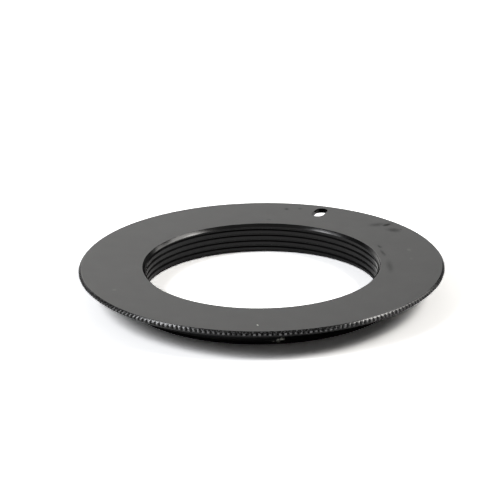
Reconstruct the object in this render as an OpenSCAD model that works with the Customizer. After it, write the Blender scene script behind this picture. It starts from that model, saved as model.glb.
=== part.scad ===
// Lens adapter ring, turned from one piece of aluminium: a thin knurled flange,
// a wide threaded bore for the lens, and a bayonet spigot for the camera beneath.
// Millimetres. Z = 0 is the spigot's lower face, on which the ring stands, +Z looks
// to the lens along the ring's axis, and the lock slot is on the far side, at +Y.

/* [Flange] */
// Diameter over the knurl's crests
flange_d = 65; // [64.6:0.1:80]
// Thickness from the top face to the seat for the camera's mount
flange_t = 1.2; // [1:0.05:3]
// Bevel between the top face and the knurl
rim_bevel = 0.4; // [0.1:0.05:0.5]

/* [Knurl] */
// Number of straight V grooves round the rim
knurl_count = 228; // [36:1:230]
// Depth of the grooves below the crests
knurl_depth = 0.3; // [0.1:0.05:0.4]
// Angle between the two flanks of a groove
knurl_angle = 90; // [60:1:100]
// Bevel at the lower end of the crests
knurl_end_bevel = 0.1; // [0.05:0.05:0.2]
// Height of the plain lip under the knurl
lip_h = 0.45; // [0.3:0.05:0.8]
// How far the lip stands back from the crests
lip_step = 0.35; // [0.15:0.05:0.5]
// Bevel at the lip's lower edge
lip_bevel = 0.15; // [0.05:0.05:0.25]

/* [Lens thread] */
// Bore, at the minor diameter of the lens thread
bore_d = 40.9; // [30:0.1:45]
// How far the lead-in bevel widens the bore at the top face
lead_in = 0.7; // [0.2:0.05:1.2]
// Angle of the lead-in bevel from the ring's axis
lead_in_angle = 45; // [30:1:60]
// Bevel at the bore's lower end
exit_bevel = 0.3; // [0.1:0.05:0.6]

/* [Spigot] */
// Outer diameter of the spigot's tube
spigot_d = 50.5; // [48:0.1:50.9]
// Height of the spigot below the seat
spigot_h = 4.1; // [3.6:0.1:8]
// Bevel at the spigot's lower outer edge
spigot_bevel = 0.3; // [0.1:0.05:0.6]

/* [Bayonet lugs] */
// How far the lugs stand out from the spigot's tube
lug_reach = 1.55; // [0.5:0.05:2.5]
// Gap between the seat and the upper face of the lugs
lug_gap = 1.45; // [1:0.05:2]
// Thickness of the lugs
lug_t = 1.35; // [0.8:0.05:1.6]
// Span of the front lug
front_lug_span = 58; // [20:1:75]
// Direction of the front lug's middle
front_lug_dir = 249; // [230:1:270]
// Span of the right lug
right_lug_span = 52; // [20:1:75]
// Direction of the right lug's middle
right_lug_dir = 9; // [-10:1:25]
// Span of the far left lug
left_lug_span = 46; // [20:1:75]
// Direction of the far left lug's middle
left_lug_dir = 129; // [115:1:150]
// Part of a lug's span, at its leading end, that is ramped
ramp_span = 9; // [3:1:15]
// How far the ramp lowers the lug's upper face at its end
ramp_drop = 0.4; // [0.1:0.05:0.7]
// Bevel at the lugs' lower outer edge
lug_bevel = 0.25; // [0.1:0.05:0.4]

// How far the floor of the gaps between the lugs stands above the tube
gap_land = 0.1; // [0.05:0.05:0.3]

/* [Lock slot] */
// Direction of the slot for the camera's lock pin
slot_dir = 68.1; // [45:0.1:90]
// Width of the slot
slot_w = 2.3; // [1:0.1:3]
// Distance from the spigot's tube to the slot's inner end
slot_inset = 1.35; // [1.1:0.05:1.5]
// Length of the slot along the ring's radius
slot_l = 4.25; // [3.2:0.05:4.4]
// How far the shallow pocket on the camera's side reaches past the slot
pocket_reach = 0.9; // [0.3:0.05:1.1]
// Depth of the pocket
pocket_depth = 0.35; // [0.1:0.05:0.5]

/* [Hidden] */

// Facets of a full turn
$fn = 180;
// Reach of a cutter past the face that it cuts through
past = 0.1;

flange_r = flange_d / 2;
bore_r = bore_d / 2;
mouth_r = bore_r + lead_in;
spigot_r = spigot_d / 2;
lip_r = flange_r - lip_step;
lug_r = spigot_r + lug_reach;

// Heights above the spigot's lower face
seat_z = spigot_h;
knurl_z = seat_z + lip_h;
top_z = seat_z + flange_t;
lug_top_z = seat_z - lug_gap;
lug_bottom_z = lug_top_z - lug_t;
lead_in_depth = lead_in / tan(lead_in_angle);

// Slot's ends, as distances from the axis to the middles of their round ends
slot_in_r = spigot_r + slot_inset + slot_w / 2;
slot_out_r = slot_in_r + slot_l - slot_w;

// Middle and span of each lug, counter-clockwise from +X as seen from the lens
lugs = [
    [right_lug_dir, right_lug_span],
    [left_lug_dir, left_lug_span],
    [front_lug_dir, front_lug_span]
];
function lug_start(i) = lugs[i][0] - lugs[i][1] / 2;
function lug_end(i) = lugs[i][0] + lugs[i][1] / 2;

// The ring as it leaves the lathe: the bevelled rim, the plain lip under the
// knurl, the seat, the spigot's tube and the collar that becomes the lugs
module turned_body() {
    rotate_extrude()
        polygon([
            [0, top_z],
            [flange_r - rim_bevel, top_z],
            [flange_r, top_z - rim_bevel],
            [flange_r, knurl_z + knurl_end_bevel],
            [flange_r - knurl_end_bevel, knurl_z],
            [lip_r, knurl_z],
            [lip_r, seat_z + lip_bevel],
            [lip_r - lip_bevel, seat_z],
            [spigot_r, seat_z],
            [spigot_r, lug_top_z],
            [lug_r, lug_top_z],
            [lug_r, lug_bottom_z + lug_bevel],
            [lug_r - lug_bevel, lug_bottom_z],
            [spigot_r, lug_bottom_z],
            [spigot_r, spigot_bevel],
            [spigot_r - spigot_bevel, 0],
            [0, 0]
        ]);
}

// One V groove, open to the outside, over the height of the knurl
module knurl_groove() {
    mouth_half = (knurl_depth + past) * tan(knurl_angle / 2);
    translate([0, 0, knurl_z - past])
        linear_extrude(height = top_z - knurl_z + 2 * past)
            polygon([
                [flange_r - knurl_depth, 0],
                [flange_r + past, -mouth_half],
                [flange_r + past, mouth_half]
            ]);
}

// Straight knurl, as grooves evenly spaced round the rim
module knurl_grooves() {
    for (i = [0 : knurl_count - 1])
        rotate([0, 0, i * 360 / knurl_count])
            knurl_groove();
}

// Sector that takes the collar away down to its land on the spigot's tube
module collar_sector(span) {
    rotate_extrude(angle = span)
        translate([spigot_r + gap_land, lug_bottom_z - past])
            square([lug_reach - gap_land + past, lug_t + 2 * past]);
}

// Gap in the collar between lug i and the next one
module lug_gap_cut(i) {
    next = (i + 1) % len(lugs);
    turn = next == 0 ? 360 : 0;
    rotate([0, 0, lug_end(i)])
        collar_sector(lug_start(next) + turn - lug_end(i));
}

// Ramp on the upper face of lug i, at the end that leads when the ring is turned
// clockwise into the camera
module lug_ramp_cut(i) {
    ramp_l = lug_r * ramp_span * PI / 180;
    rotate([0, 0, lug_start(i)])
        intersection() {
            collar_sector(ramp_span);
            rotate([0, 0, ramp_span])
                translate([0, 0, lug_top_z])
                    rotate([atan(ramp_drop / ramp_l), 0, 0])
                        translate([0, -2 * ramp_l, 0])
                            cube([lug_r + 2 * past, 2 * ramp_l, lug_t]);
        }
}

// Bore for the lens thread, with its lead-in and its lower bevel
module bore_cut() {
    rotate_extrude()
        polygon([
            [0, top_z + past],
            [mouth_r + past * tan(lead_in_angle), top_z + past],
            [bore_r, top_z - lead_in_depth],
            [bore_r, exit_bevel],
            [bore_r + exit_bevel + past, -past],
            [0, -past]
        ]);
}

// Hole with round ends along the slot's radius, from low_z up to high_z
module long_hole(width, low_z, high_z) {
    translate([slot_in_r, -width / 2, low_z])
        cube([slot_out_r - slot_in_r, width, high_z - low_z]);
    for (r = [slot_in_r, slot_out_r])
        translate([r, 0, low_z])
            cylinder(h = high_z - low_z, d = width);
}

// Slot through the flange for the lock pin, with a pocket on the camera's side
module lock_slot_cut() {
    rotate([0, 0, slot_dir]) {
        long_hole(slot_w, seat_z - past, top_z + past);
        long_hole(slot_w + 2 * pocket_reach, seat_z - past, seat_z + pocket_depth);
    }
}

module adapter_ring() {
    color("dimgray")
        difference() {
            turned_body();
            knurl_grooves();
            for (i = [0 : len(lugs) - 1]) {
                lug_gap_cut(i);
                lug_ramp_cut(i);
            }
            bore_cut();
            lock_slot_cut();
        }
}

adapter_ring();
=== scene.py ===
import math

import bpy
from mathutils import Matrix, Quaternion, Vector


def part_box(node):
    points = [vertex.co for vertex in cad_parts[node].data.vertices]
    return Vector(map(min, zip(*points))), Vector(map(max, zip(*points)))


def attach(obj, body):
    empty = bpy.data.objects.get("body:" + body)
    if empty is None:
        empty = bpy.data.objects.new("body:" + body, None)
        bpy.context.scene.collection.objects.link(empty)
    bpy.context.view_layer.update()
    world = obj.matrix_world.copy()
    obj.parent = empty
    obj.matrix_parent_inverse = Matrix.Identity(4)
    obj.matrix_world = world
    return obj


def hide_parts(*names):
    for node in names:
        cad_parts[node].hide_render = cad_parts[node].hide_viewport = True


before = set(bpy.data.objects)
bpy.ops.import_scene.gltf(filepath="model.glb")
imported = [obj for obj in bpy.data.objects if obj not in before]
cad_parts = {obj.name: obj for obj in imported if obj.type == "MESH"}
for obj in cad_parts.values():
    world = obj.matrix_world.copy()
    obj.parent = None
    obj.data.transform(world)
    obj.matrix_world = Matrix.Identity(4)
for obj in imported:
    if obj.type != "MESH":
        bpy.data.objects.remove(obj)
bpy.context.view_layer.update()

# The ring's sizes in millimetres. Heights are above the spigot's lower face, and
# directions are degrees counter-clockwise from +X. They are the frame's sizes, apart
# from LIP_BEVEL, BORE_R and LEAD_IN, which follow what the photo shows more closely.
MM = 0.001
TOP_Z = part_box("adapter_ring")[1].z / MM
FLANGE_R = 32.5
RIM_BEVEL = 0.4
SEAT_Z = 4.1
KNURL_COUNT = 228
KNURL_DEPTH = 0.3
KNURL_Z = 4.55
KNURL_END_BEVEL = 0.1
LIP_R = 32.15
LIP_BEVEL = 0.3
BORE_R = 20.66
LEAD_IN = 0.49
EXIT_BEVEL = 0.3
SPIGOT_R = 25.25
SPIGOT_BEVEL = 0.3
LUG_R = 26.8
LUG_TOP_Z = 2.65
LUG_BOTTOM_Z = 1.3
LUG_BEVEL = 0.25
LUGS = ((9, 52), (129, 46), (249, 58))
GAP_LAND = 0.1
RAMP_SPAN = 9
RAMP_DROP = 0.4
SLOT_DIR = 68.1
SLOT_W = 2.3
SLOT_L = 4.25
SLOT_MIDDLE_R = 28.725
POCKET_REACH = 0.9
POCKET_DEPTH = 0.35

# How far the turned corners are rounded along each side, and the upper corner of the
# knurl's crests, which handling has worn
CORNER = 0.06
CREST_CORNER = 0.08

# The lens thread is 42 mm across at its roots, with the pitch that the photo's crests
# show. THREAD_PHASE is the height at which a groove passes +X.
THREAD_R = 21.0
THREAD_PITCH = 1.08
THREAD_PHASE = -0.24
THREAD_STEPS = 180
THREAD_FLANK = 30

# Columns of faces round the ring: three to each groove of the knurl, so that one
# column holds the groove's root and the next two the edges of a crest
COLUMNS_A_GROOVE = 3
COLUMNS = KNURL_COUNT * COLUMNS_A_GROOVE

# Edges under this many degrees are shaded smooth
SMOOTH_UNDER = 16

# Points nearer than this are one point, and MARGIN lets a choice by place take in
# points that lie on its border
TINY = 0.001
MARGIN = 0.01

# The most edges that a pinhole left by a cut can have
PINHOLE_SIDES = 8


def deselect():
    bpy.ops.object.select_all(action="DESELECT")


def use(obj):
    """Makes obj the only selected object and the active one."""
    deselect()
    obj.select_set(True)
    bpy.context.view_layer.objects.active = obj
    return obj


def place_applied(obj):
    """Puts obj's place, turn and scale into its mesh."""
    use(obj)
    bpy.ops.object.transform_apply(location=True, rotation=True, scale=True)
    return obj


def pick(test):
    """In edit mode, selects the vertices of the active mesh whose place passes test."""
    bpy.ops.mesh.select_mode(type="VERT")
    bpy.ops.mesh.select_all(action="DESELECT")
    bpy.ops.object.mode_set(mode="OBJECT")
    for vert in bpy.context.object.data.vertices:
        vert.select = test(vert.co / MM)
    bpy.ops.object.mode_set(mode="EDIT")


def close_mesh(obj):
    """Merges doubles and turns all faces outwards."""
    use(obj)
    bpy.ops.object.mode_set(mode="EDIT")
    bpy.ops.mesh.select_all(action="SELECT")
    bpy.ops.mesh.remove_doubles(threshold=TINY * MM)
    bpy.ops.mesh.normals_make_consistent(inside=False)
    bpy.ops.object.mode_set(mode="OBJECT")
    return obj


def heal(obj):
    """Takes slivers out of obj's mesh and closes the pinholes that cuts can leave."""
    close_mesh(obj)
    bpy.ops.object.mode_set(mode="EDIT")
    bpy.ops.mesh.select_all(action="SELECT")
    bpy.ops.mesh.dissolve_degenerate(threshold=TINY * MM)
    bpy.ops.mesh.select_all(action="DESELECT")
    bpy.ops.mesh.select_mode(type="EDGE")
    bpy.ops.mesh.select_non_manifold()
    bpy.ops.mesh.fill_holes(sides=PINHOLE_SIDES)
    bpy.ops.mesh.select_all(action="SELECT")
    bpy.ops.mesh.delete_loose()
    bpy.ops.object.mode_set(mode="OBJECT")
    return close_mesh(obj)


def cut(obj, tool):
    """Cuts tool from obj and removes tool."""
    use(obj)
    step = obj.modifiers.new("Cut", "BOOLEAN")
    step.operation = "DIFFERENCE"
    step.solver = "EXACT"
    step.object = tool
    bpy.ops.object.modifier_apply(modifier=step.name)
    bpy.data.objects.remove(tool)


def lathe(name, profile, columns):
    """A closed ring whose section is profile, a list of (radius, height)."""
    deselect()
    radius, height = profile[0]
    bpy.ops.mesh.primitive_circle_add(
        vertices=columns, radius=radius * MM, fill_type="NOTHING", location=(0, 0, height * MM)
    )
    ring = place_applied(bpy.context.object)
    ring.name = name
    bpy.ops.object.mode_set(mode="EDIT")
    bpy.ops.mesh.select_all(action="SELECT")
    for (r0, z0), (r1, z1) in zip(profile, profile[1:] + profile[:1]):
        bpy.ops.mesh.extrude_edges_move(TRANSFORM_OT_translate={"value": (0, 0, (z1 - z0) * MM)})
        bpy.ops.transform.resize(value=(r1 / r0, r1 / r0, 1), center_override=(0, 0, 0))
    bpy.ops.object.mode_set(mode="OBJECT")
    return close_mesh(ring)


def eased(profile, is_sharp, reach_at):
    """Rounds each corner of a closed profile, apart from those that is_sharp names.
    The rounding reaches reach_at(corner) along each side."""
    out = []
    for i, corner in enumerate(profile):
        before, after = profile[i - 1], profile[(i + 1) % len(profile)]
        if is_sharp(corner):
            out.append(corner)
            continue
        near = []
        for end in (before, after):
            length = math.dist(corner, end)
            share = min(reach_at(corner), length / 3) / length
            near.append([c + (e - c) * share for c, e in zip(corner, end)])
        middle = [(a + 2 * c + b) / 4 for a, c, b in zip(near[0], corner, near[1])]
        out += [tuple(near[0]), tuple(middle), tuple(near[1])]
    return out


def turned_profile():
    """Section of the ring as it leaves the lathe, from the bore's lower edge outwards."""
    profile = [
        (BORE_R + EXIT_BEVEL, 0),
        (SPIGOT_R - SPIGOT_BEVEL, 0),
        (SPIGOT_R, SPIGOT_BEVEL),
        (SPIGOT_R, LUG_BOTTOM_Z),
        (LUG_R - LUG_BEVEL, LUG_BOTTOM_Z),
        (LUG_R, LUG_BOTTOM_Z + LUG_BEVEL),
        (LUG_R, LUG_TOP_Z),
        (SPIGOT_R, LUG_TOP_Z),
        (SPIGOT_R, SEAT_Z),
        (LIP_R - LIP_BEVEL, SEAT_Z),
        (LIP_R, SEAT_Z + LIP_BEVEL),
        (LIP_R, KNURL_Z),
        (FLANGE_R - KNURL_END_BEVEL, KNURL_Z),
        (FLANGE_R, KNURL_Z + KNURL_END_BEVEL),
        (FLANGE_R, TOP_Z - RIM_BEVEL),
        (FLANGE_R - RIM_BEVEL, TOP_Z),
        (BORE_R + LEAD_IN, TOP_Z),
        (BORE_R, TOP_Z - LEAD_IN),
        (BORE_R, EXIT_BEVEL),
    ]

    def is_sharp(corner):
        radius, height = corner
        on_knurl = radius > LIP_R and height < TOP_Z - RIM_BEVEL
        on_land = radius == SPIGOT_R and height in (LUG_BOTTOM_Z, LUG_TOP_Z)
        on_wall = radius == BORE_R
        return on_knurl or on_land or on_wall

    def reach_at(corner):
        return CREST_CORNER if corner[0] == FLANGE_R else CORNER

    return eased(profile, is_sharp, reach_at)


def cut_knurl(ring):
    """Presses every third column of the rim in to the root of a V groove."""
    root_r = FLANGE_R - KNURL_DEPTH
    column = 2 * math.pi / COLUMNS

    def in_root_column(co):
        turn = math.atan2(co.y, co.x) / column
        return round(turn) % COLUMNS_A_GROOVE == 0 and abs(turn - round(turn)) < 0.1

    def press(low_z, high_z, from_r, rise):
        pick(
            lambda co: low_z < co.z < high_z
            and from_r - CREST_CORNER < math.hypot(co.x, co.y) < from_r + MARGIN
            and in_root_column(co)
        )
        bpy.ops.transform.resize(
            value=(root_r / from_r, root_r / from_r, 1), center_override=(0, 0, 0)
        )
        bpy.ops.transform.translate(value=(0, 0, rise * MM))

    use(ring)
    bpy.ops.object.mode_set(mode="EDIT")
    half = KNURL_END_BEVEL / 2
    corner_z = TOP_Z - RIM_BEVEL
    press(corner_z - CREST_CORNER - MARGIN, corner_z + CREST_CORNER, FLANGE_R, KNURL_DEPTH)
    press(KNURL_Z + half, KNURL_Z + 3 * half, FLANGE_R, -half)
    press(KNURL_Z - half, KNURL_Z + half, FLANGE_R - KNURL_END_BEVEL, 0)
    bpy.ops.object.mode_set(mode="OBJECT")


def degrees_from(co, direction):
    """Turn from direction to the point, between -180 and 180 degrees."""
    turn = math.degrees(math.atan2(co.y, co.x)) - direction
    return (turn + 180) % 360 - 180


def sector(inner_r, outer_r, low_z, high_z, start, span):
    """A closed part of a square-edged ring, in steps of a degree."""
    deselect()
    bpy.ops.mesh.primitive_plane_add(
        size=1,
        location=((inner_r + outer_r) / 2 * MM, 0, (low_z + high_z) / 2 * MM),
        rotation=(math.pi / 2, 0, 0),
    )
    part = bpy.context.object
    part.scale = ((outer_r - inner_r) * MM, (high_z - low_z) * MM, 1)
    place_applied(part)
    bpy.ops.object.mode_set(mode="EDIT")
    bpy.ops.mesh.select_all(action="SELECT")
    bpy.ops.mesh.spin(steps=span, angle=math.radians(span), center=(0, 0, 0), axis=(0, 0, 1))
    bpy.ops.object.mode_set(mode="OBJECT")
    turns = [degrees_from(vert.co, 0) for vert in part.data.vertices]
    part.rotation_euler = (0, 0, math.radians(start - min(turns)))
    place_applied(part)
    return close_mesh(part)


def joined(objs):
    use(objs[0])
    for obj in objs[1:]:
        obj.select_set(True)
    bpy.ops.object.join()
    return objs[0]


def ramp_cutter(start):
    """Wedge that lowers a lug's upper face towards its clockwise end."""
    past, near = 0.2, 0.3
    first, span = start - 1, RAMP_SPAN + 2
    low_z = LUG_TOP_Z - RAMP_DROP
    wedge = sector(SPIGOT_R + GAP_LAND, LUG_R + past, low_z, LUG_TOP_Z + past, first, span)
    bpy.ops.object.mode_set(mode="EDIT")
    for step in range(span + 1):
        pick(lambda co: co.z < low_z + MARGIN and abs(degrees_from(co, first + step)) < near)
        rise = RAMP_DROP * (step - 1) / RAMP_SPAN
        bpy.ops.transform.translate(value=(0, 0, rise * MM))
    bpy.ops.object.mode_set(mode="OBJECT")
    return wedge


def gap_cutters():
    """What is milled from the collar to leave the lugs."""
    past = 0.1
    low_z, high_z = LUG_BOTTOM_Z - past, LUG_TOP_Z + past
    cutters = []
    for (middle, span), (next_middle, next_span) in zip(LUGS, LUGS[1:] + LUGS[:1]):
        start = middle + span // 2
        gap = (next_middle - next_span // 2 - start) % 360
        cutters.append(sector(SPIGOT_R + GAP_LAND, LUG_R + past, low_z, high_z, start, gap))
    return joined(cutters)


def cut_lugs(ring):
    """Mills the turned collar into three lugs with ramps."""
    ramps = joined([ramp_cutter(middle - span // 2) for middle, span in LUGS])
    cut(ring, ramps)
    cut(ring, gap_cutters())


def thread_cutter():
    """Helical cutter with the section of a thread's groove."""
    base_r = BORE_R - 0.1
    depth = THREAD_R - base_r
    root_flat = THREAD_PITCH / 8
    base_w = root_flat + 2 * depth * math.tan(math.radians(THREAD_FLANK))
    start_z = THREAD_PHASE - THREAD_PITCH
    turns = math.ceil((TOP_Z - start_z) / THREAD_PITCH) + 1
    deselect()
    bpy.ops.mesh.primitive_plane_add(
        size=1, location=((base_r + depth / 2) * MM, 0, start_z * MM), rotation=(math.pi / 2, 0, 0)
    )
    cutter = bpy.context.object
    cutter.scale = (depth * MM, base_w * MM, 1)
    place_applied(cutter)
    bpy.ops.object.mode_set(mode="EDIT")
    pick(lambda co: co.x > base_r + depth / 2)
    bpy.ops.transform.resize(
        value=(1, 1, root_flat / base_w), center_override=(0, 0, start_z * MM)
    )
    bpy.ops.mesh.select_all(action="SELECT")
    bpy.ops.mesh.delete(type="ONLY_FACE")
    bpy.ops.object.mode_set(mode="OBJECT")
    screw = cutter.modifiers.new("Helix", "SCREW")
    screw.axis = "Z"
    screw.angle = 2 * math.pi
    screw.screw_offset = THREAD_PITCH * MM
    screw.iterations = turns
    screw.steps = screw.render_steps = THREAD_STEPS
    screw.use_merge_vertices = False
    bpy.ops.object.modifier_apply(modifier=screw.name)
    bpy.ops.object.mode_set(mode="EDIT")
    bpy.ops.mesh.select_all(action="SELECT")
    bpy.ops.mesh.remove_doubles(threshold=TINY * MM)
    bpy.ops.mesh.select_all(action="DESELECT")
    bpy.ops.mesh.select_mode(type="EDGE")
    bpy.ops.mesh.select_non_manifold()
    bpy.ops.mesh.fill_holes(sides=4)
    bpy.ops.object.mode_set(mode="OBJECT")
    return close_mesh(cutter)


def slot_cutter(width, low_z, high_z):
    """Cutter for a hole with round ends along the slot's radius."""
    corners = 48
    reach = (SLOT_L - SLOT_W) / 2
    deselect()
    bpy.ops.mesh.primitive_cylinder_add(
        vertices=corners,
        radius=width / 2 * MM,
        depth=(high_z - low_z) * MM,
        rotation=(0, 0, math.pi / corners),
    )
    cutter = place_applied(bpy.context.object)
    bpy.ops.object.mode_set(mode="EDIT")
    for side in (-1, 1):
        pick(lambda co: co.x * side > 0)
        bpy.ops.transform.translate(value=(side * reach * MM, 0, 0))
    bpy.ops.object.mode_set(mode="OBJECT")
    turn = math.radians(SLOT_DIR)
    cutter.location = (
        SLOT_MIDDLE_R * math.cos(turn) * MM,
        SLOT_MIDDLE_R * math.sin(turn) * MM,
        (low_z + high_z) / 2 * MM,
    )
    cutter.rotation_euler = (0, 0, turn)
    return place_applied(cutter)


def cut_slot(ring):
    """The lock pin's slot, right through, with its pocket on the camera's side."""
    past = 1
    cut(ring, slot_cutter(SLOT_W, SEAT_Z - past, TOP_Z + past))
    pocket_w = SLOT_W + 2 * POCKET_REACH
    cut(ring, slot_cutter(pocket_w, SEAT_Z - past, SEAT_Z + POCKET_DEPTH))


def make_ring():
    ring = lathe("threaded_adapter_ring", turned_profile(), COLUMNS)
    cut_knurl(ring)
    cut_lugs(ring)
    cut(ring, thread_cutter())
    cut_slot(ring)
    heal(ring)
    bpy.ops.object.shade_smooth_by_angle(angle=math.radians(SMOOTH_UNDER))
    flatten = ring.modifiers.new("Flat faces stay flat", "WEIGHTED_NORMAL")
    flatten.keep_sharp = True
    bpy.ops.object.modifier_apply(modifier=flatten.name)
    return ring


def add(tree, kind, inputs=None, **fields):
    """A shader node with its fields set and its inputs set, or linked from a socket."""
    node = tree.nodes.new("ShaderNode" + kind)
    for name, value in fields.items():
        setattr(node, name, value)
    for name, value in (inputs or {}).items():
        if isinstance(value, bpy.types.NodeSocket):
            tree.links.new(value, node.inputs[name])
        else:
            node.inputs[name].default_value = value
    return node


def maths(tree, operation, a, b=0.0, c=0.0):
    return add(tree, "Math", {0: a, 1: b, 2: c}, operation=operation).outputs[0]


def vector_maths(tree, operation, a, b, c=(0, 0, 0)):
    node = add(tree, "VectorMath", {0: a, 1: b, 2: c}, operation=operation)
    return node.outputs["Vector"]


def mixed(tree, share, first, second):
    """The first colour where share is 0 and the second where it is 1."""
    return add(tree, "MixRGB", {"Fac": share, "Color1": first, "Color2": second}).outputs[0]


def noise(tree, place, scale, detail):
    return add(tree, "TexNoise", {"Vector": place, "Scale": scale, "Detail": detail})


def faded(tree, value, zero_at, one_at):
    """0 where value is at zero_at, 1 at one_at, with a soft run between them."""
    fade = add(
        tree,
        "MapRange",
        {"Value": value, "From Min": zero_at, "From Max": one_at},
        interpolation_type="SMOOTHSTEP",
    )
    return fade.outputs[0]


# Size of a grain as a share of the drift's patches, and how rough the grain's noise is
GRAIN_IN_DRIFT = 0.03
GRAIN_NOISE = 0.6


def fine_grain_group():
    """Grain of a blasted or rolled surface, and a slow drift over some thirty grains.
    Place and Size are in millimetres."""
    group = bpy.data.node_groups.new("fine_grain", "ShaderNodeTree")
    for name, kind in (("Place", "NodeSocketVector"), ("Size", "NodeSocketFloat")):
        group.interface.new_socket(name=name, in_out="INPUT", socket_type=kind)
    for name in ("Height", "Drift"):
        group.interface.new_socket(name=name, in_out="OUTPUT", socket_type="NodeSocketFloat")
    given = group.nodes.new("NodeGroupInput").outputs
    fine = maths(group, "DIVIDE", 1.0, given["Size"])
    coarse = maths(group, "MULTIPLY", fine, GRAIN_IN_DRIFT)
    bumps = noise(group, given["Place"], fine, 2.0)
    bumps.inputs["Roughness"].default_value = GRAIN_NOISE
    drift = noise(group, given["Place"], coarse, 3.0)
    result = group.nodes.new("NodeGroupOutput")
    group.links.new(bumps.outputs[0], result.inputs["Height"])
    group.links.new(drift.outputs[0], result.inputs["Drift"])
    return group


def place_in_mm(tree):
    """The point's place on the object, in millimetres."""
    point = add(tree, "TexCoord").outputs["Object"]
    return add(
        tree, "VectorMath", {0: point, "Scale": 1 / MM}, operation="SCALE"
    ).outputs["Vector"]


def grain_of(tree, group, place, size):
    node = add(tree, "Group", node_tree=group)
    tree.links.new(place, node.inputs["Place"])
    node.inputs["Size"].default_value = size
    return node.outputs["Height"], node.outputs["Drift"]


def radius_at(tree, place):
    """Distance from the ring's axis."""
    flat = vector_maths(tree, "MULTIPLY", place, (1, 1, 0))
    return add(tree, "VectorMath", {0: flat}, operation="LENGTH").outputs["Value"]


def height_at(tree, place):
    return add(tree, "SeparateXYZ", {0: place}).outputs["Z"]


def spot(tree, place, centre, size, turn):
    """1 at centre and 0 from the ends of size outwards, turned about Z by turn degrees."""
    moved = add(
        tree,
        "Mapping",
        {
            "Vector": place,
            "Location": centre,
            "Rotation": (0, 0, math.radians(turn)),
            "Scale": size,
        },
        vector_type="TEXTURE",
    )
    away = add(tree, "VectorMath", {0: moved.outputs[0]}, operation="LENGTH").outputs["Value"]
    return faded(tree, away, 1.0, 0.0)


def spots(tree, place, marks):
    """The strongest of several spots: each is centre, half sizes, turn and strength."""
    total = 0.0
    for centre, size, turn, strength in marks:
        one = maths(tree, "MULTIPLY", spot(tree, place, centre, size, turn), strength)
        total = maths(tree, "MAXIMUM", one, total)
    return total


# Marks, in millimetres: centre, half sizes, turn about Z, strength. The last six of
# DUST are the scuff and the dot on the front of the spigot.
SMUDGES = (
    ((22.9, 19.7, 5.3), (1.3, 0.6, 0.5), 38, 1.0),
    ((25.3, 17.2, 5.3), (0.4, 0.35, 0.5), 0, 0.5),
    ((21.0, 19.8, 5.3), (2.2, 1.3, 0.5), 20, 0.25),
    ((24.0, 16.9, 5.3), (1.9, 1.4, 0.5), -35, 0.3),
    ((21.2, 8.5, 5.3), (0.5, 1.3, 0.5), 15, 0.45),
    ((21.7, 5.3, 5.3), (0.45, 2.2, 0.5), 12, 0.35),
    ((22.7, -1.5, 5.3), (0.9, 4.5, 0.5), 3, 0.2),
    ((4.7, 28.6, 5.3), (0.65, 0.7, 0.5), 0, 0.5),
    ((7.2, 28.7, 5.3), (0.5, 0.6, 0.5), 0, 0.3),
    ((1.5, 23.1, 5.3), (0.7, 0.6, 0.5), 0, 0.2),
)
DUST = (
    ((26.4, 6.7, 5.3), (0.6, 1.0, 0.5), 0, 0.05),
    ((26.6, 2.3, 5.3), (0.5, 0.8, 0.5), 0, 0.03),
    ((-25.9, -11.6, 5.3), (0.5, 0.6, 0.5), 0, 0.05),
    ((-0.8, -29.1, 5.3), (0.2, 0.35, 0.5), 0, 1.0),
    ((2.0, -26.0, 0.8), (0.3, 1.6, 0.5), 5, 1.0),
    ((2.6, -26.0, 1.5), (0.45, 1.6, 0.35), 6, 1.0),
    ((3.3, -26.0, 1.6), (0.7, 1.6, 0.35), 7, 1.0),
    ((3.9, -26.0, 1.0), (0.35, 1.6, 0.55), 9, 1.0),
    ((2.8, -26.0, 0.6), (0.7, 1.6, 0.3), 6, 1.0),
    ((-7.4, -25.2, 1.0), (0.3, 1.6, 0.3), -16, 0.9),
)

# How far noise moves the marks' outlines, in millimetres, and that noise's scale
STIR = 0.7
STIR_SCALE = 1.6

# Wear of the knurl, whose grey is also a painted highlight on the crests: where it starts and is
# full, in millimetres in from the crests, and the scale of its patches. Noise between the two
# levels turns bare into worn. The same for the specks on the bevel, which are scuffs and also a
# painted sparkle of highlight, with their strength.
WEAR_AND_HIGHLIGHT_REACH = (0.1, 0.02)
WEAR_AND_HIGHLIGHT_SCALE = 2.2
WEAR_AND_HIGHLIGHT_LEVELS = (0.3, 0.62)
SPECK_SCALE = 3.5
SPECK_LEVELS = (0.5, 0.68)
SPECK_STRENGTH = 0.4

# Colours: the anodising's darkest and lightest, its worn edges, whose grey is also a painted
# highlight on the knurl's crests and the rim's bevel, and dust
BLACK = (0.0035, 0.0035, 0.0036, 1)
BLACK_FADED = (0.005, 0.005, 0.0052, 1)
# Partly rubbed metal, partly a painted highlight on the knurl's crests and the rim's bevel
WORN_GREY_AND_HIGHLIGHT = (0.2, 0.2, 0.205, 1)
DUST_WHITE = (0.8, 0.82, 0.74, 1)

# Roughness of the blasted top face and of the turned faces round it, what the drift
# and the smudges add to it, and the grain's size and depth in millimetres
BLASTED_ROUGHNESS = 0.34
TURNED_ROUGHNESS = 0.16
DRIFT_ROUGHNESS = 0.04
SMUDGE_ROUGHNESS = 0.5
GRAIN = 0.09
GRAIN_DEPTH = 0.0025


def top_face(tree, place):
    """1 on the flat top face and 0 on its bevels, in the bore and below."""
    radius, height = radius_at(tree, place), height_at(tree, place)
    mouth_r, edge_r = BORE_R + LEAD_IN, FLANGE_R - RIM_BEVEL
    outside_mouth = faded(tree, radius, mouth_r, mouth_r + CORNER)
    inside_edge = faded(tree, radius, edge_r, edge_r - CORNER)
    on_top = faded(tree, height, TOP_Z - 2 * CORNER, TOP_Z - CORNER / 2)
    inside = maths(tree, "MULTIPLY", outside_mouth, inside_edge)
    return maths(tree, "MULTIPLY", inside, on_top)


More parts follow.
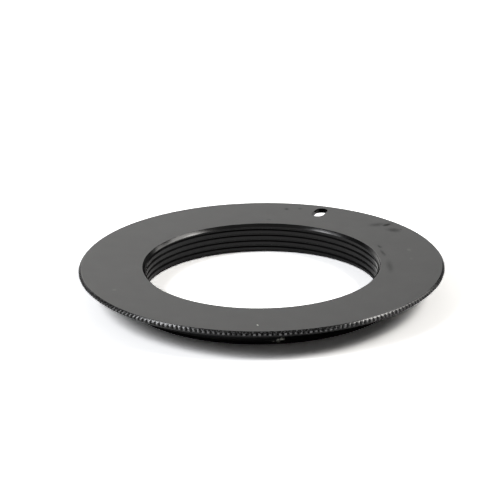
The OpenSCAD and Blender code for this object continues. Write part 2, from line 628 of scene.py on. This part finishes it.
def worn_and_highlighted_crests(tree, place):
    """How far handling has rubbed the knurl's crests to grey, in uneven patches. The grey there is
    also a painted highlight on the crests.
    """
    starts, full = (FLANGE_R - reach for reach in WEAR_AND_HIGHLIGHT_REACH)
    crest = faded(tree, radius_at(tree, place), starts, full)
    patches = noise(tree, place, WEAR_AND_HIGHLIGHT_SCALE, 2.0).outputs[0]
    return maths(tree, "MULTIPLY", crest, faded(tree, patches, *WEAR_AND_HIGHLIGHT_LEVELS))


def scuffed_and_highlighted_bevel(tree, place):
    """How far the rim's bevel is scuffed, in specks, which are also a painted sparkle of
    highlight.
    """
    edge_r, edge_z = FLANGE_R - RIM_BEVEL, TOP_Z - RIM_BEVEL
    outside = faded(tree, radius_at(tree, place), edge_r - CORNER, edge_r + CORNER)
    above = faded(tree, height_at(tree, place), edge_z, edge_z + CORNER)
    specks = faded(tree, noise(tree, place, SPECK_SCALE, 1.0).outputs[0], *SPECK_LEVELS)
    # The specks are scuffs and also a painted sparkle of highlight on the bevel
    scuffs_and_highlights = maths(tree, "MULTIPLY", maths(tree, "MULTIPLY", outside, above), specks)
    return maths(tree, "MULTIPLY", scuffs_and_highlights, SPECK_STRENGTH)


def stirred(tree, place):
    """The place, moved a little by noise, so that marks get ragged outlines."""
    ragged = noise(tree, place, STIR_SCALE, 3.0).outputs["Color"]
    shift = vector_maths(tree, "SUBTRACT", ragged, (0.5, 0.5, 0.5))
    return vector_maths(tree, "MULTIPLY_ADD", shift, (STIR, STIR, STIR), place)


def anodised_black(grain):
    """Fine matt black anodising with handling marks on it. The grey of the rubbed crests and of
    the bevel's specks is partly a painted highlight.
    """
    material = bpy.data.materials.new("anodised_black")
    material.use_nodes = True
    tree = material.node_tree
    shader = tree.nodes["Principled BSDF"]
    place = place_in_mm(tree)
    height, drift = grain_of(tree, grain, place, GRAIN)
    marked = stirred(tree, place)
    # Rubbed crests and bevel specks, whose grey also paints highlights there
    wear_and_highlight = maths(tree, "MAXIMUM", worn_and_highlighted_crests(tree, place), scuffed_and_highlighted_bevel(tree, place))
    colour = mixed(tree, drift, BLACK, BLACK_FADED)
    colour = mixed(tree, wear_and_highlight, colour, WORN_GREY_AND_HIGHLIGHT)
    colour = mixed(tree, spots(tree, marked, DUST), colour, DUST_WHITE)
    tree.links.new(colour, shader.inputs["Base Color"])
    matter = BLASTED_ROUGHNESS - TURNED_ROUGHNESS
    rough = maths(tree, "MULTIPLY_ADD", drift, DRIFT_ROUGHNESS, TURNED_ROUGHNESS)
    rough = maths(tree, "MULTIPLY_ADD", top_face(tree, place), matter, rough)
    smudge = spots(tree, marked, SMUDGES)
    rough = maths(tree, "MULTIPLY_ADD", smudge, SMUDGE_ROUGHNESS, rough)
    tree.links.new(rough, shader.inputs["Roughness"])
    shader.inputs["IOR"].default_value = 1.5
    bump = add(tree, "Bump", {"Height": height, "Strength": 1.0, "Distance": GRAIN_DEPTH * MM})
    tree.links.new(bump.outputs[0], shader.inputs["Normal"])
    return material


# The floor's tone, how much the drift adds to it, the size and depth of its grain in
# millimetres, and what multiplies the tone where the camera sees the floor directly and
# where the ring mirrors it
FLOOR_TONE = 0.83
FLOOR_DRIFT = 0.04
FLOOR_GRAIN = 0.4
FLOOR_GRAIN_DEPTH = 0.01
FLOOR_RELIEF = 0.2
FLOOR_SEEN = 2.2
FLOOR_MIRRORED = 0.7


def pale_paper(grain):
    """The floor's paper. The camera sees it as white where it is lit, and its shadows
    stay."""
    material = bpy.data.materials.new("pale_paper")
    material.use_nodes = True
    tree = material.node_tree
    shader = tree.nodes["Principled BSDF"]
    height, drift = grain_of(tree, grain, place_in_mm(tree), FLOOR_GRAIN)
    shader.inputs["Roughness"].default_value = 1.0
    shader.inputs["Specular IOR Level"].default_value = 0.0
    tone = maths(tree, "MULTIPLY_ADD", drift, FLOOR_DRIFT, FLOOR_TONE)
    ray = add(tree, "LightPath").outputs
    mirrored = maths(tree, "MAXIMUM", ray["Is Glossy Ray"], ray["Is Transmission Ray"])
    boost = maths(tree, "MULTIPLY_ADD", mirrored, FLOOR_MIRRORED - 1, 1.0)
    boost = maths(tree, "MULTIPLY_ADD", ray["Is Camera Ray"], FLOOR_SEEN - 1, boost)
    tree.links.new(maths(tree, "MULTIPLY", tone, boost), shader.inputs["Base Color"])
    relief = {"Height": height, "Strength": FLOOR_RELIEF, "Distance": FLOOR_GRAIN_DEPTH * MM}
    bump = add(tree, "Bump", relief)
    tree.links.new(bump.outputs[0], shader.inputs["Normal"])
    return material


# The floor is this many metres across, and lies this many millimetres below the ring's
# foot, so that the two faces stay apart
FLOOR_SIZE = 3
FLOOR_GAP = 0.01


def make_floor(material):
    deselect()
    bpy.ops.mesh.primitive_plane_add(size=FLOOR_SIZE, location=(0, 0, -FLOOR_GAP * MM))
    floor = bpy.context.object
    floor.name = "floor"
    floor.data.materials.append(material)


# Soft lights: name, direction and height above the horizon, width and height, all in
# degrees, then radiance and tint. The smaller ones are the bright middles of the boxes.
COOL = (0.97, 0.98, 1.0)
WARM = (1.0, 0.98, 0.95)
SOFT_BOXES = (
    ("left_soft_box", 192.5, 40, 38, 28, 3.6, COOL),
    ("left_soft_box_middle", 186, 46, 14, 24, 9.0, COOL),
    ("right_soft_box", 8, 46.5, 36.5, 22, 5.0, WARM),
    ("right_soft_box_middle", 3, 48, 12, 10, 12.0, WARM),
    ("right_soft_box_back", 33, 27, 22, 16, 2.4, WARM),
)


def soft_box(name, azimuth, elevation, width, height, radiance, tint):
    """A rectangular light a metre away that faces the ring."""
    far = 1.0
    data = bpy.data.lights.new(name, "AREA")
    data.shape = "RECTANGLE"
    data.size = 2 * far * math.tan(math.radians(width / 2))
    data.size_y = 2 * far * math.tan(math.radians(height / 2))
    data.energy = radiance * math.pi * data.size * data.size_y
    data.color = tint
    lamp = bpy.data.objects.new(name, data)
    bpy.context.scene.collection.objects.link(lamp)
    turn, tilt = math.radians(azimuth), math.radians(elevation)
    level = math.cos(tilt)
    toward = Vector((level * math.cos(turn), level * math.sin(turn), math.sin(tilt)))
    lamp.location = toward * far
    lamp.rotation_mode = "QUATERNION"
    lamp.rotation_quaternion = (-toward).to_track_quat("-Z", "Y")


# The room's light: a glow behind the object that fades upwards by GLOW_FADE degrees and
# sideways by GLOW_POWER, a dim ceiling, a faint front, and faint low sides. GLOW_RISE
# and SIDES_FALL are heights on a sphere of radius 1 between which a light comes and goes.
GLOW = 15.5
GLOW_FADE = 26.0
GLOW_RISE = (0.1, 0.42)
GLOW_AZIMUTH = 102.0
GLOW_POWER = 14.0
CEILING = 0.17
CEILING_POWER = 4.0
FRONT = 0.11
SIDES = 0.1
SIDES_FALL = (0.6, 0.25)
ROOM_TINT = (1.0, 0.995, 0.975, 1)


def make_world():
    world = bpy.data.worlds.new("studio")
    bpy.context.scene.world = world
    world.use_nodes = True
    tree = world.node_tree
    direction = add(tree, "TexCoord").outputs["Generated"]
    split = add(tree, "SeparateXYZ", {0: direction}).outputs
    height = maths(tree, "MAXIMUM", split["Z"], 0.0)
    turn = math.radians(GLOW_AZIMUTH)
    toward_glow = {0: direction, 1: (math.cos(turn), math.sin(turn), 0)}
    facing = add(tree, "VectorMath", toward_glow, operation="DOT_PRODUCT").outputs["Value"]
    facing = maths(tree, "POWER", maths(tree, "MAXIMUM", facing, 0.0), GLOW_POWER)
    climb = maths(tree, "ARCSINE", height)
    fade = maths(tree, "EXPONENT", maths(tree, "MULTIPLY", climb, -1 / math.radians(GLOW_FADE)))
    rise = faded(tree, height, *GLOW_RISE)
    glow = maths(tree, "MULTIPLY", maths(tree, "MULTIPLY", facing, GLOW), fade)
    glow = maths(tree, "MULTIPLY", glow, rise)
    above = maths(tree, "MULTIPLY", maths(tree, "POWER", height, CEILING_POWER), CEILING)
    ahead = maths(tree, "MULTIPLY", maths(tree, "MINIMUM", split["Y"], 0.0), -FRONT)
    low = maths(tree, "MULTIPLY", faded(tree, height, *SIDES_FALL), SIDES)
    beside = maths(tree, "MULTIPLY", maths(tree, "MULTIPLY", split["X"], split["X"]), low)
    level = maths(tree, "ADD", maths(tree, "ADD", glow, above), maths(tree, "ADD", ahead, beside))
    tree.links.new(level, tree.nodes["Background"].inputs["Strength"])
    tree.nodes["Background"].inputs["Color"].default_value = ROOM_TINT


# The camera, fitted to the photo: degrees, and metres from the middle of the top face
CAMERA_ELEVATION = 20.8135
CAMERA_DISTANCE = 0.7989
CAMERA_ROLL = 0.69
CAMERA_AIM = (-0.00201, 0.0, 0.00811)
CAMERA_SENSOR = 36
CAMERA_LENS = 324


def make_camera():
    data = bpy.data.cameras.new("camera")
    camera = bpy.data.objects.new("camera", data)
    bpy.context.scene.collection.objects.link(camera)
    tilt = math.radians(CAMERA_ELEVATION)
    place = Vector((0, -math.cos(tilt), math.sin(tilt))) * CAMERA_DISTANCE
    place.z += TOP_Z * MM
    camera.location = place
    look = (Vector(CAMERA_AIM) - place).to_track_quat("-Z", "Y")
    camera.rotation_mode = "QUATERNION"
    camera.rotation_quaternion = look @ Quaternion((0, 0, 1), math.radians(-CAMERA_ROLL))
    data.sensor_width = CAMERA_SENSOR
    data.lens = CAMERA_LENS
    bpy.context.scene.camera = camera


grain = fine_grain_group()
ring = make_ring()
ring.data.materials.clear()
ring.data.materials.append(anodised_black(grain))
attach(ring, "root")
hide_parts("adapter_ring")

make_floor(pale_paper(grain))
make_world()
for box in SOFT_BOXES:
    soft_box(*box)
make_camera()
bpy.context.scene.view_settings.view_transform = "Standard"
